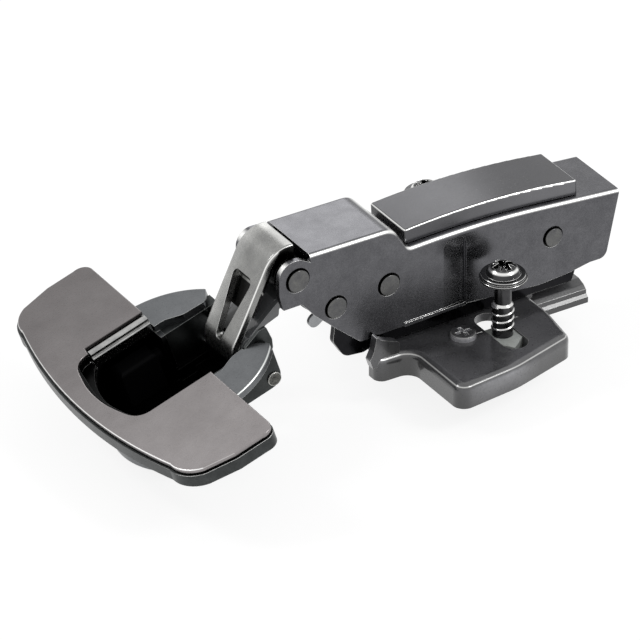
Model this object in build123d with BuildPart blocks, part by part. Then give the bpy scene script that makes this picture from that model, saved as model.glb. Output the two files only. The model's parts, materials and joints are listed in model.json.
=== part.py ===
from build123d import *
import math
import os

# Concealed cup hinge shown open at 108 degrees. All sizes in millimetres.
# X runs along the arm (the door cup is at -X), Y across it, Z up from the cabinet face.
# Origin: cabinet face, arm centre plane, line of the plate's screw slots.

os.makedirs("parts", exist_ok=True)

# ---- clearances shared by the parts ----
pin_gap = 0.05            # radial running clearance of a pin in a moving part
slide_gap = 0.05          # side clearance of a sliding part

# ---- pivots on the arm (x, z) ----
strap_pivot = (-41.26, 25.99)
link_pivot = (-32.93, 17.58)
adapter_pivot = (-21.3, 18.8)
latch_pivot = (15.4, 17.7)
strap_pin_r = 2.0
strap_head_r = 2.25
link_pin_r = 2.12
adapter_pin_r = 2.12
latch_pin_r = 1.9
pin_proud = 0.45          # how far the pin ends stand out of the arm cheek
pin_round = 0.15

# ---- cup frame: s runs to the front of the wing, n out of the cup ----
cup_tilt = 18.0
wing_edge = (-62.48, 15.31)
cup_cos = math.cos(math.radians(cup_tilt))
cup_sin = math.sin(math.radians(cup_tilt))
cup_axis_n = (-cup_sin, 0, cup_cos)
cup_axis_s = (-cup_cos, 0, -cup_sin)
cup_origin = (wing_edge[0], 0, wing_edge[1])
cup_plane = Plane(origin=cup_origin, x_dir=cup_axis_s, z_dir=cup_axis_n)


def cup_point(s, n):
    """World (x, z) of a place given in the cup frame."""
    x = wing_edge[0] - s * cup_cos - n * cup_sin
    z = wing_edge[1] - s * cup_sin + n * cup_cos
    return (x, z)


def cup_points(pairs):
    return [cup_point(s, n) for s, n in pairs]


def side_axis(x, z, y=0.0):
    """Plane across the arm whose normal is -Y, centred on (x, z)."""
    return Plane(origin=(x, y, z), x_dir=(1, 0, 0), z_dir=(0, -1, 0))


def rounded(corners):
    """Closed outline through (a, b, corner radius) triples, sharp where the radius is 0."""
    FilletPolyline(*[(a, b) for a, b, r in corners], radius=[r for a, b, r in corners], close=True)


def cup_corners(corners):
    """World (x, z, radius) triples of corners given in the cup frame."""
    return [(*cup_point(s, n), r) for s, n, r in corners]


def mirrored(corners):
    """An outline's half and its reflection in the line b = 0."""
    return corners + [(a, -b, r) for a, b, r in corners[::-1]]


def parallel(path, thick):
    """Points of a path moved sideways by thick, to the right of its direction."""
    normals = []
    for a, b in zip(path[:-1], path[1:]):
        length = math.hypot(b[0] - a[0], b[1] - a[1])
        normals.append(((b[1] - a[1]) / length, (a[0] - b[0]) / length))
    moved = []
    for i, p in enumerate(path):
        first = normals[max(i - 1, 0)]
        second = normals[min(i, len(normals) - 1)]
        scale = 1 + first[0] * second[0] + first[1] * second[1]
        moved.append((p[0] + thick * (first[0] + second[0]) / scale, p[1] + thick * (first[1] + second[1]) / scale))
    return moved


def around(centre, radius, degrees):
    """Point at an angle on a circle."""
    angle = math.radians(degrees)
    return (centre[0] + radius * math.cos(angle), centre[1] + radius * math.sin(angle))


# ---- cup and wing sizes ----
pot_r = 17.5
pot_wall = 1.0
pot_centre_s = 0.6
pot_bottom = -15.8
wing_under = -3.7         # face that lies on the door
cover_thick = 0.8
cover_round = 0.25
groove_depth = 0.3
flange_top = -cover_thick - groove_depth
flange_flare = 0.45
ring_r = 18.9
ring_centre_s = 1.9
ring_top = -2.2
ring_round = 0.6
mouth_half = 11.6         # half width of the U opening in the wing cover
mouth_notch = 1.9         # the cover opens this much wider along its far edge
mouth_step = 0.6          # the lower wing opens this much wider than the cover
body_mouth = mouth_half + mouth_step
body_notch = mouth_notch + 0.1 - mouth_step
mouth_straight = 13.4     # where the straight sides of the U end
ledge_top = -2.8          # shelf between the U opening and the round pot
rail_end = mouth_straight - 0.4
ledge_rear = rail_end + 0.05
rear_clear = -11.0        # s range cleared between the ears
front_clear = 5.0
lobe_inner = 8.55
lobe_seat = 10.4
lobe_front = -2.5
lobe_tip = -12.7
ear_inner = 8.4
ear_outer = 11.2
ear_rear = -12.9
ear_bottom = -12.1
ear_front = -1.0
ear_lip = 0.7             # thickness of the raised inner lip of the near ear
ear_lip_front = -8.3
shoulder_s = -1.0
floor_rear = -5.0
tray_rear = -12.0         # shallow rear floor of the cup, under the pivots
tray_floor = -13.5
tray_wall = 0.8
tray_top = -12.0
side_wall = (-4.6, -0.6)   # s range of the low walls that join the tray to the pot
drain = (-6.7, 2.4)       # drain opening in the tray floor, and its size
drain_size = (2.6, 3.6)
wing_half = 34.2
wing_reach = 22.45        # from the rear edge to the middle of the front edge
wing_shoulder = (18.9, 27.0)
wing_front_corner = (17.7, 30.9)
wing_front_side = (15.2, 32.9)
wing_flat = (3.0, 9.0)
wing_rear_corner = (0.75, 33.6)
wing_rear_side = 31.9
mouth_reach = 18.75       # front end of the U opening
mouth_curve = (1.05, 7.2)
cutter = 2 * ring_r + 2   # side of the blocks that trim round pieces straight
strap_cup = (-8.36, -10.93)   # strap pivot in the cup frame
link_cup = (-11.05, -5.70)    # inner link pin in the cup frame
cup_pin_r = 1.0
eye_r = 1.8
strap_cup_xz = cup_point(*strap_cup)
link_cup_xz = cup_point(*link_cup)


def wing_outline(grow, u_half, notch):
    """Closed outline of the wing in (s, -y): butterfly plan with the U opening, notched on its far side."""
    rear = -0.4 * grow
    half = wing_half + grow
    front = mouth_reach + mouth_half - u_half
    far_edge = -u_half - notch
    rear_corner = (wing_rear_corner[0] - 0.4 * grow, wing_rear_corner[1] + 0.6 * grow)
    front_side = (wing_front_side[0], wing_front_side[1] + grow)
    front_corner = (wing_front_corner[0] + 0.7 * grow, wing_front_corner[1] + 0.7 * grow)
    shoulder = (wing_shoulder[0] + grow, wing_shoulder[1])
    for side in (-1, 1):
        ThreePointArc((rear, side * wing_rear_side), (rear_corner[0], side * rear_corner[1]), (wing_flat[0], side * half))
        Line((wing_flat[0], side * half), (wing_flat[1], side * half))
        Line((wing_flat[1], side * half), (front_side[0], side * front_side[1]))
        ThreePointArc(
            (front_side[0], side * front_side[1]),
            (front_corner[0], side * front_corner[1]),
            (shoulder[0], side * shoulder[1]),
        )
    ThreePointArc((shoulder[0], -shoulder[1]), (wing_reach + grow, 0), shoulder)
    Line((rear, -wing_rear_side), (rear, far_edge))
    Line((rear, wing_rear_side), (rear, u_half))
    Line((rear, u_half), (mouth_straight, u_half))
    curve = (front - mouth_curve[0], mouth_curve[1])
    Spline((mouth_straight, u_half), curve, (front, 0), tangents=((1, 0), (0, -1)))
    Spline((front, 0), (curve[0], -curve[1]), (mouth_straight, -u_half), tangents=((0, -1), (-1, 0)))
    Line((mouth_straight, -u_half), (mouth_straight - 0.4, far_edge))
    Line((mouth_straight - 0.4, far_edge), (rear, far_edge))


# ================= door side =================
# Cup pot with the two crescent lobes of its rim and a shallow rear floor between the ears
lobe_start = [
    (lobe_front + 6.5, lobe_seat, 0),
    (lobe_front, lobe_seat, 0.4),
    (lobe_front - 3.3, lobe_inner + 0.3, 2.0),
]
lobe_slot = [             # the near lobe makes room for the raised lip of its ear
    (ear_lip_front, lobe_inner, 0.2),
    (ear_lip_front, ear_inner + ear_lip, 0.2),
    (lobe_front - 8.3, ear_inner + ear_lip, 1.5),
]
lobe_end = [
    (lobe_front - 8.5, lobe_inner, 1.5),
    (lobe_tip, lobe_inner + 2.9, 0.5),
    (lobe_tip + 0.7, lobe_inner + 4.5, 0),
    (lobe_tip + 0.7, ring_r, 0),
    (lobe_tip - cutter / 4, ring_r, 0),
]
near_lobe = lobe_start + lobe_slot + lobe_end[1:]
far_lobe = lobe_start + lobe_end
with BuildPart() as cup_pot:
    with BuildSketch(cup_plane.offset(pot_bottom)):
        with Locations((pot_centre_s, 0)):
            Circle(pot_r)
        with Locations((shoulder_s - cutter / 2, 0)):
            Rectangle(cutter, cutter, mode=Mode.SUBTRACT)
    extrude(amount=wing_under - pot_bottom)
    with BuildSketch(cup_plane.offset(pot_bottom + pot_wall)):
        with Locations((pot_centre_s, 0)):
            Circle(pot_r - pot_wall)
        with Locations((shoulder_s + pot_wall - cutter / 2, 0)):
            Rectangle(cutter, cutter, mode=Mode.SUBTRACT)
        with Locations(((rear_clear + front_clear) / 2, 0)):
            Rectangle(front_clear - rear_clear, 2 * ear_inner)
    extrude(amount=ring_top - pot_bottom, mode=Mode.SUBTRACT)
    with BuildSketch(cup_plane.offset(pot_bottom)):
        with Locations(((floor_rear + pot_wall) / 2, 0)):
            Rectangle(pot_wall - floor_rear, 2 * ear_inner)
    extrude(amount=pot_wall)
    with BuildSketch(cup_plane.offset(pot_bottom)):
        with Locations((floor_rear + tray_wall / 2, 0)):
            Rectangle(tray_wall, 2 * ear_inner)
    extrude(amount=tray_floor - pot_bottom)
    with BuildSketch(cup_plane.offset(tray_floor - pot_wall)):
        with Locations(((tray_rear + floor_rear + tray_wall) / 2, 0)):
            Rectangle(floor_rear + tray_wall - tray_rear, 2 * ear_inner)
    extrude(amount=tray_top - tray_floor + pot_wall)
    with BuildSketch(cup_plane.offset(tray_floor)):
        with Locations(((tray_rear + tray_wall + floor_rear + 1) / 2, 0)):
            Rectangle(floor_rear + 1 - tray_rear - tray_wall, 2 * (ear_inner - tray_wall))
    extrude(amount=tray_top - tray_floor, mode=Mode.SUBTRACT)
    with BuildSketch(cup_plane.offset(tray_floor - pot_wall)):
        with Locations((drain[0], drain[1])):
            RectangleRounded(*drain_size, 0.6)
    extrude(amount=2 * pot_wall, mode=Mode.SUBTRACT)
    with BuildSketch(cup_plane.offset(pot_bottom)):
        with Locations(((side_wall[0] + side_wall[1]) / 2, ear_inner - tray_wall / 2)):
            Rectangle(side_wall[1] - side_wall[0], tray_wall)
        with Locations(((side_wall[0] + side_wall[1]) / 2, tray_wall / 2 - ear_inner)):
            Rectangle(side_wall[1] - side_wall[0], tray_wall)
    extrude(amount=tray_top - pot_bottom)
    with BuildSketch(cup_plane.offset(wing_under)):
        with Locations((ring_centre_s, 0)):
            Circle(ring_r)
        with Locations((cutter / 2 - 0.4 * flange_flare, 0)):
            Rectangle(cutter, cutter, mode=Mode.SUBTRACT)
        with BuildLine():
            rounded(near_lobe + [(a, -b, r) for a, b, r in far_lobe[::-1]])
        make_face(mode=Mode.SUBTRACT)
    extrude(amount=ring_top - wing_under)
    rim = cup_pot.edges().filter_by(GeomType.CIRCLE).filter_by(lambda e: abs(e.radius - ring_r) < 0.01)
    fillet(rim.group_by(Axis(cup_origin, cup_axis_n))[-1], ring_round)
cup_pot.part.label = "cup_pot"
export_step(cup_pot.part, "parts/cup_pot.step")

# Lower wing body resting on the door, with a neck below the cover plate
ledge_front = 19.5
with BuildPart() as wing_body:
    with BuildSketch(cup_plane.offset(wing_under)):
        with BuildLine():
            wing_outline(flange_flare, body_mouth, body_notch)
        make_face()
    extrude(amount=flange_top - wing_under)
    with BuildSketch(cup_plane.offset(flange_top)):
        with BuildLine():
            wing_outline(-0.5, body_mouth, body_notch)
        make_face()
    extrude(amount=groove_depth)
    with BuildSketch(cup_plane.offset(wing_under)):
        with Locations(((ledge_rear + ledge_front) / 2, 0)):
            Rectangle(ledge_front - ledge_rear, 2 * body_mouth)
        with Locations((pot_centre_s, 0)):
            Circle(pot_r - pot_wall, mode=Mode.SUBTRACT)
    extrude(amount=ledge_top - wing_under)
wing_body.part.label = "wing_body"
export_step(wing_body.part, "parts/wing_body.step")

# Thin cover plate of the wing
with BuildPart() as wing_cover:
    with BuildSketch(cup_plane.offset(-cover_thick)):
        with BuildLine():
            wing_outline(0.0, mouth_half, mouth_notch)
        make_face()
    extrude(amount=cover_thick)
    fillet(wing_cover.faces().sort_by(Axis(cup_origin, cup_axis_n))[-1].outer_wire().edges(), cover_round)
wing_cover.part.label = "wing_cover"
export_step(wing_cover.part, "parts/wing_cover.step")

# Turned guide rails just inside the U opening: the far one stands high in the notch, with a step on each side
cup_cross = Plane(origin=cup_origin, x_dir=(0, -1, 0), z_dir=cup_axis_s)
rail_inner = mouth_half - 0.5
far_rail = [
    (-rail_inner, wing_under, 0),
    (-rail_inner, -1.5, 0.3),
    (-mouth_half, -1.5, 0.1),
    (-mouth_half, -0.6, 0.3),
    (-mouth_half - mouth_notch + 0.45, -0.6, 0.3),
    (-mouth_half - mouth_notch + 0.45, -1.9, 0.1),
    (-body_mouth - body_notch, -1.9, 0),
    (-body_mouth - body_notch, wing_under, 0),
]
near_rail = [
    (rail_inner, wing_under, 0),
    (rail_inner, -1.3, 0.3),
    (body_mouth, -1.3, 0),
    (body_mouth, wing_under, 0),
]
for corners, length, name in (
    (far_rail, rail_end, "mouth_rail_far"),
    (near_rail, mouth_straight - 3.4, "mouth_rail_near"),
):
    with BuildPart() as mouth_rail:
        with BuildSketch(cup_cross):
            with BuildLine():
                rounded(corners)
            make_face()
        extrude(amount=length)
    mouth_rail.part.label = name
    export_step(mouth_rail.part, "parts/" + name + ".step")

# Locating pegs under the wing corners
peg_r = 2.0
peg_drop = 0.6
peg_edge = 4.7            # from the end of the wing to the peg's axis
peg_s = 14.0
for side, name in ((1, "wing_peg_far"), (-1, "wing_peg_near")):
    with BuildPart() as wing_peg:
        with BuildSketch(cup_plane.offset(wing_under - peg_drop)):
            with Locations((peg_s, -side * (wing_half - peg_edge))):
                Circle(peg_r)
        extrude(amount=peg_drop)
    wing_peg.part.label = name
    export_step(wing_peg.part, "parts/" + name + ".step")

# Pivot ears that carry the strap pin, one on each side of the cup
ear_corner = 2.8
lip_corners = [
    (ear_lip_front, wing_under, 0),
    (ear_lip_front - 0.3, ring_top, 0.5),
    (-12.4, -0.4, 0.8),
    (-13.95, -0.5, 0.4),
    (-14.3, wing_under, 1.5),
    (-13.9, -5.6, 1.0),
    (ear_rear, -6.6, 0),
    (ear_rear + 1, -6.6, 0),
    (ear_rear + 1, wing_under, 0),
]
rivet_place = (-11.2, -10.3)
rivet_r = 1.4
rivet_grip = 1.4
rivet_proud = 0.3
cup_pin_grip = 1.6
for side, name in ((1, "pivot_ear_far"), (-1, "pivot_ear_near")):
    ear_mid = side * (ear_inner + ear_outer) / 2
    with BuildPart() as pivot_ear:
        with BuildSketch(Plane.XZ.offset(-ear_mid)):
            with BuildLine():
                Polyline(
                    *cup_points(
                        [
                            (ear_front, wing_under),
                            (ear_front, ear_bottom),
                            (ear_rear, ear_bottom),
                            (ear_rear, wing_under),
                        ]
                    ),
                    close=True,
                )
            make_face()
        extrude(amount=(ear_outer - ear_inner) / 2, both=True)
        rear_low = cup_point(ear_rear, ear_bottom)
        corner = pivot_ear.edges().filter_by(Axis.Y).sort_by_distance((rear_low[0], ear_mid, rear_low[1]))[0]
        fillet(corner, ear_corner)
        if side < 0:
            with BuildSketch(Plane.XZ.offset(ear_inner + ear_lip / 2)):
                with BuildLine():
                    rounded(cup_corners(lip_corners))
                make_face()
            extrude(amount=ear_lip / 2, both=True)
        with Locations(side_axis(*strap_cup_xz, y=side * ear_inner).location):
            Cylinder(cup_pin_r, 2 * cup_pin_grip, mode=Mode.SUBTRACT)
        with Locations(side_axis(*cup_point(*rivet_place), y=side * ear_outer).location):
            Cylinder(rivet_r, 2 * rivet_grip, mode=Mode.SUBTRACT)
    pivot_ear.part.label = name
    export_step(pivot_ear.part, "parts/" + name + ".step")

# Rivets that close the ears
for side, name in ((1, "ear_rivet_far"), (-1, "ear_rivet_near")):
    with BuildPart() as ear_rivet:
        rivet_mid = side * (ear_outer + (rivet_proud - rivet_grip) / 2)
        with Locations(side_axis(*cup_point(*rivet_place), y=rivet_mid).location):
            Cylinder(rivet_r, rivet_grip + rivet_proud)
    ear_rivet.part.label = name
    export_step(ear_rivet.part, "parts/" + name + ".step")

# Pin that carries the strap between the ears
with BuildPart() as cup_pin:
    with Locations(side_axis(*strap_cup_xz).location):
        Cylinder(cup_pin_r, 2 * (ear_inner + cup_pin_grip))
cup_pin.part.label = "cup_pin"
export_step(cup_pin.part, "parts/cup_pin.step")

# Soft-close damper in the far side of the cup
damper_y = 11.1
damper_n = -9.0
damper_back = 1.8
damper_half = 2.2
damper_side_gap = 0.3
damper_length = (
    math.sqrt((pot_r - pot_wall - damper_side_gap) ** 2 - (damper_y + damper_half) ** 2) + pot_centre_s - damper_back
)
plunger_r = 1.3
plunger_out = 1.4
bore_depth = damper_length - 1.0
with BuildPart() as damper_body:
    with BuildSketch(cup_plane.offset(pot_bottom + pot_wall)):
        with Locations((damper_back + damper_length / 2, -damper_y)):
            Rectangle(damper_length, 2 * damper_half)
    extrude(amount=damper_n + damper_half - pot_bottom - pot_wall)
    top_edges = damper_body.faces().sort_by(Axis(cup_origin, cup_axis_n))[-1].edges()
    fillet(top_edges, 0.8)
    with Locations(cup_cross):
        with Locations((-damper_y, damper_n, damper_back)):
            Cylinder(plunger_r + slide_gap, 2 * bore_depth, mode=Mode.SUBTRACT)
damper_body.part.label = "damper_body"
export_step(damper_body.part, "parts/damper_body.step")

# Damper plunger
plunger_length = bore_depth - 0.5
with BuildPart() as damper_plunger:
    with Locations(cup_cross):
        with Locations((-damper_y, damper_n, damper_back - plunger_out + plunger_length / 2)):
            Cylinder(plunger_r, plunger_length)
damper_plunger.part.label = "damper_plunger"
export_step(damper_plunger.part, "parts/damper_plunger.step")

# ================= links =================
strap_half = 5.2
strap_thick = 1.4
strap_eye_r = 3.6
strap_round = 0.55
wrap_r = 6.25             # outer radius of the roll round the arm pin
wrap_start = 84.0
wrap_end = 154.5
knee = (-53.72, 12.76)    # middle of the sheet where the straight and the foot would cross
knee_r = 5.5
foot_angle = 196.0        # outward direction of the sheet's outer face at the foot

# Strap link: one bent sheet, rolled round the arm pin and ending in an eye in the cup
window_top = 3.3
window_bottom = 0.9
window_z = (13.6, 25.8)
window_cut = 14.0
neck_z = strap_pivot[1] + (strap_eye_r + wrap_r) / 2 - 0.3
strap_lean = 64.5         # slope of the straight part of the sheet
tongue_thick = 0.8        # free end of the roll, lying behind the window
tongue_long = 10.0
tongue_half = 4.3
tongue_out = strap_eye_r + tongue_thick / 2 - 0.05
tongue_top = around(strap_pivot, tongue_out, strap_lean + 90)
tongue_mid = around(tongue_top, tongue_long / 2, strap_lean + 180)
with BuildPart() as strap_link:
    with BuildSketch(Plane.XZ):
        with BuildLine():
            roll_r = wrap_r - strap_thick / 2
            half_turn = math.radians((wrap_end - wrap_start) / 2)
            roll_corner = around(strap_pivot, roll_r / math.cos(half_turn), (wrap_start + wrap_end) / 2)
            roll_start = around(strap_pivot, roll_r, wrap_start)
            foot = around(strap_cup_xz, eye_r - strap_thick / 2, foot_angle)
            FilletPolyline(roll_start, roll_corner, knee, foot, radius=[roll_r - 0.05, knee_r])
        trace(line_width=strap_thick)
    extrude(amount=strap_half, both=True)
    marks = [
        around(strap_pivot, wrap_r, (wrap_start + wrap_end) / 2),
        (knee[0] - 0.3, knee[1]),
    ]
    long_edges = []
    for side in (-1, 1):
        for x, z in marks:
            long_edges.append(strap_link.edges().sort_by_distance((x, side * strap_half, z))[0])
    fillet(long_edges, strap_round)
    with BuildSketch(Plane.XZ):
        with Locations(strap_pivot):
            Circle(strap_eye_r)
        with Locations((strap_pivot[0], neck_z)):
            Rectangle(strap_thick, wrap_r - strap_eye_r)
        with Locations(strap_cup_xz):
            Circle(eye_r)
    extrude(amount=strap_half, both=True)
    with Locations(side_axis(*strap_pivot).location):
        Cylinder(strap_pin_r + pin_gap, 20, mode=Mode.SUBTRACT)
    with Locations(side_axis(*strap_cup_xz).location):
        Cylinder(cup_pin_r + pin_gap, 20, mode=Mode.SUBTRACT)
    with BuildSketch(Plane(origin=(knee[0] - window_cut / 3, 0, 0), x_dir=(0, 1, 0), z_dir=(1, 0, 0))):
        with BuildLine():
            rounded(
                [
                    (-window_top, window_z[1], 1.2),
                    (window_top, window_z[1], 1.2),
                    (window_bottom, window_z[0], 0.8),
                    (-window_bottom, window_z[0], 0.8),
                ]
            )
        make_face()
    extrude(amount=window_cut, mode=Mode.SUBTRACT)
    with BuildSketch(Plane.XZ):
        with Locations(Location((*tongue_mid, 0), (0, 0, strap_lean))):
            Rectangle(tongue_long, tongue_thick)
    extrude(amount=tongue_half, both=True)
strap_link.part.label = "strap_link"
export_step(strap_link.part, "parts/strap_link.step")

# Inner link: two cheeks and a web, with its own pin at the cup end
cheek_out = 5.2
cheek_in = 4.0
link_eye_r = 3.2
link_web = 1.0
link_top = [(-38.2, 21.9), (-44.1, 20.9), (-51.4, 14.2)]
link_side = [
    (-33.0, 20.7, 0.5),
    (-38.2, 21.9, 2.0),
    (-44.1, 20.9, 2.0),
    (-51.5, 14.2, 0.5),
    (-49.2, 12.3, 0.5),
    (-49.0, 14.2, 0.5),
    (-46.8, 16.8, 1.0),
    (-43.9, 18.0, 0.5),
    (-43.8, 19.5, 0.4),
    (-40.0, 19.9, 1.5),
    (-36.5, 17.8, 1.5),
    (-33.0, 14.5, 0.5),
]
link_pin_half = 8.0
with BuildPart() as inner_link:
    for y0 in (-cheek_out, cheek_in):
        with BuildSketch(Plane.XZ.offset(-y0)):
            with BuildLine():
                rounded(link_side)
            make_face()
            with Locations(link_pivot):
                Circle(link_eye_r)
            with Locations(link_cup_xz):
                Circle(eye_r)
        extrude(amount=-(cheek_out - cheek_in))
    with BuildSketch(Plane.XZ):
        with BuildLine():
            Polyline(*link_top, *parallel(link_top, -link_web)[::-1], close=True)
        make_face()
    extrude(amount=cheek_in + 0.1, both=True)
    with Locations(side_axis(*link_pivot).location):
        Cylinder(link_pin_r + pin_gap, 20, mode=Mode.SUBTRACT)
    with Locations(side_axis(*link_cup_xz).location):
        Cylinder(cup_pin_r, 20, mode=Mode.SUBTRACT)
inner_link.part.label = "inner_link"
export_step(inner_link.part, "parts/inner_link.step")

# Pin fixed in the cup end of the inner link
with BuildPart() as link_end_pin:
    with Locations(side_axis(*link_cup_xz).location):
        Cylinder(cup_pin_r, 2 * link_pin_half)
link_end_pin.part.label = "link_end_pin"
export_step(link_end_pin.part, "parts/link_end_pin.step")

# ================= arm =================
arm_half = 7.75
arm_wall = 1.15
arm_inner = arm_half - arm_wall
arm_round = 0.95
arm_top = 30.5
plate_front = -38.5       # front edge of the top web
arm_rear = 30.5
arm_bend = -20.4          # the top web steps down here
nose_front = -45.3
groove_front = -9.2       # wedge-shaped groove down each cheek
groove_rear = -4.2
groove_cut = 0.48
groove_top = 24.3
lip_proud = 0.4           # lower edge of each cheek turned out beside the groove
lip_ends = (-18.0, -4.5)
sink = 0.35               # countersink of the pin holes
deck = [                  # top line of the arm
    (plate_front, arm_top, 0),
    (arm_bend, arm_top, 3.75),
    (arm_bend + 3.5, arm_top - 5.3, 1.5),
    (-1.0, arm_top - 4.5, 200.0),
    (arm_rear, arm_top - 7.1, 0),
]
arm_side = deck + [
    (arm_rear - 2.9, 9.4, 1.8),
    (arm_rear - 6.5, 9.4, 1.0),
    (arm_rear - 10.8, 8.6, 2.0),
    (12.7, 8.0, 6.0),
    (-4.0, 9.25, 5.0),
    (-22.0, 8.55, 5.0),
    (-27.5, 8.3, 1.5),
    (-33.0, 13.0, 5.0),
    (-37.6, 17.2, 5.0),
    (-40.4, 20.5, 0.8),
    (nose_front + 0.9, 20.4, 0.25),
    (nose_front, 23.8, 3.0),
    (nose_front, arm_top - 0.1, 3.3),
    (plate_front - 2.2, arm_top - 0.3, 1.2),
    (plate_front, arm_top - 1.5, 0),
]
deck_end = (arm_rear + 11.5, arm_top - 8.05)  # the top line carried past the rear end
overlay_x = -9.5
depth_x = 5.5
overlay_r = 2.0
depth_head_r = 2.6
with BuildPart() as arm:
    with BuildSketch(Plane.XZ):
        with BuildLine():
            rounded(arm_side)
        make_face()
    extrude(amount=arm_half, both=True)
    deck_edges = []
    for side in (-1, 1):
        cheek_edges = arm.edges().filter_by(lambda e: abs(e.center().Y - side * arm_half) < 0.01)
        deck_edges += cheek_edges.filter_by(
            lambda e: e.center().X > plate_front + 0.1 and e.center().Z > 23.9
        )
    fillet(deck_edges, arm_round)
    with BuildSketch(Plane.XZ):
        with BuildLine():
            under = parallel([(a, b) for a, b, r in deck[:-1]] + [deck_end], arm_wall)
            radii = [0, deck[1][2] - arm_wall, deck[2][2] + arm_wall, deck[3][2] - arm_wall, 0]
            inside = [(a, b, r) for (a, b), r in zip(under, radii)]
            high = arm_top + 2 * arm_wall
            front = nose_front - arm_wall
            rounded([(front, 0, 0), (front, high, 0), (plate_front, high, 0)] + inside + [(deck_end[0], 0, 0)])
        make_face()
    extrude(amount=arm_inner, both=True, mode=Mode.SUBTRACT)
    for side in (-1, 1):
        slant = math.atan(groove_cut / (groove_rear - groove_front))
        groove_plane = Plane(
            origin=(groove_front, side * arm_half, 0),
            x_dir=(-side * math.cos(slant), math.sin(slant), 0),
            z_dir=(math.sin(slant), side * math.cos(slant), 0),
        )
        groove_long = (groove_rear - groove_front) / math.cos(slant)
        with BuildSketch(groove_plane):
            with Locations((-side * groove_long / 2, groove_top / 2)):
                RectangleRounded(groove_long, groove_top, 1.8)
        extrude(amount=1, mode=Mode.SUBTRACT)
        with BuildSketch(Plane.XZ.offset(-side * (arm_half + (lip_proud - arm_wall) / 2))):
            with BuildLine():
                Polyline(
                    (lip_ends[0], 9.42), (lip_ends[1], 9.9), (lip_ends[1], 9.25), (lip_ends[0], 8.68), close=True
                )
            make_face()
        extrude(amount=(arm_wall + lip_proud) / 2, both=True)
    for place, radius in (
        (strap_pivot, strap_head_r),
        (link_pivot, link_pin_r),
        (adapter_pivot, adapter_pin_r),
        (latch_pivot, latch_pin_r),
    ):
        with Locations(side_axis(*place).location):
            Cylinder(radius, 20, mode=Mode.SUBTRACT)
        for side in (-1, 1):
            with Locations(side_axis(*place, y=side * (arm_half - sink / 2)).location):
                if side < 0:
                    Cone(radius, radius + sink, sink, mode=Mode.SUBTRACT)
                else:
                    Cone(radius + sink, radius, sink, mode=Mode.SUBTRACT)
    with Locations((overlay_x, 0, 24)):
        Cylinder(overlay_r + pin_gap, 6, mode=Mode.SUBTRACT)
    with Locations((depth_x, 0, 25)):
        Cylinder(depth_head_r + 0.6, 6, mode=Mode.SUBTRACT)
arm.part.label = "arm"
export_step(arm.part, "parts/arm.step")

# Pins riveted across the arm
pin_half = arm_half + pin_proud
with BuildPart() as strap_pin:
    with Locations(side_axis(*strap_pivot).location):
        Cylinder(strap_pin_r, 2 * pin_half)
    for side in (-1, 1):
        with Locations(side_axis(*strap_pivot, y=side * (arm_inner + pin_half) / 2).location):
            Cylinder(strap_head_r, pin_half - arm_inner)
    ends = strap_pin.edges().group_by(Axis.Y)
    fillet(ends[0] + ends[-1], pin_round)
strap_pin.part.label = "strap_pin"
export_step(strap_pin.part, "parts/strap_pin.step")

for name, place, radius in (
    ("link_pin", link_pivot, link_pin_r),
    ("adapter_pin", adapter_pivot, adapter_pin_r),
    ("latch_pin", latch_pivot, latch_pin_r),
):
    with BuildPart() as cross_pin:
        with Locations(side_axis(*place).location):
            Cylinder(radius, 2 * pin_half)
        ends = cross_pin.edges().filter_by(GeomType.CIRCLE)
        fillet(ends, pin_round)
    cross_pin.part.label = name
    export_step(cross_pin.part, "parts/" + name + ".step")

# Closing spring beside the near cheek: a coil round the link pin with its leg hanging out
spring_y = (arm_inner + cheek_out) / 2
spring_thick = 0.7
spring_outer = 3.1
stud = (-36.65, 15.0)     # round end of the spring's leg
stud_r = 1.35
stud_mid = ((stud[0] + link_pivot[0]) / 2, (stud[1] + link_pivot[1]) / 2)
stud_reach = math.hypot(stud[0] - link_pivot[0], stud[1] - link_pivot[1])
stud_angle = math.degrees(math.atan2(link_pivot[1] - stud[1], link_pivot[0] - stud[0]))
with BuildPart() as spring_leg:
    with BuildSketch(side_axis(0, 0, y=-spring_y)):
        with Locations(link_pivot):
            Circle(spring_outer)
        with Locations(stud_mid):
            SlotCenterToCenter(stud_reach, 2 * stud_r, rotation=stud_angle)
        with Locations(link_pivot):
            Circle(link_pin_r, mode=Mode.SUBTRACT)
    extrude(amount=spring_thick / 2, both=True)
spring_leg.part.label = "spring_leg"
export_step(spring_leg.part, "parts/spring_leg.step")

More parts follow.
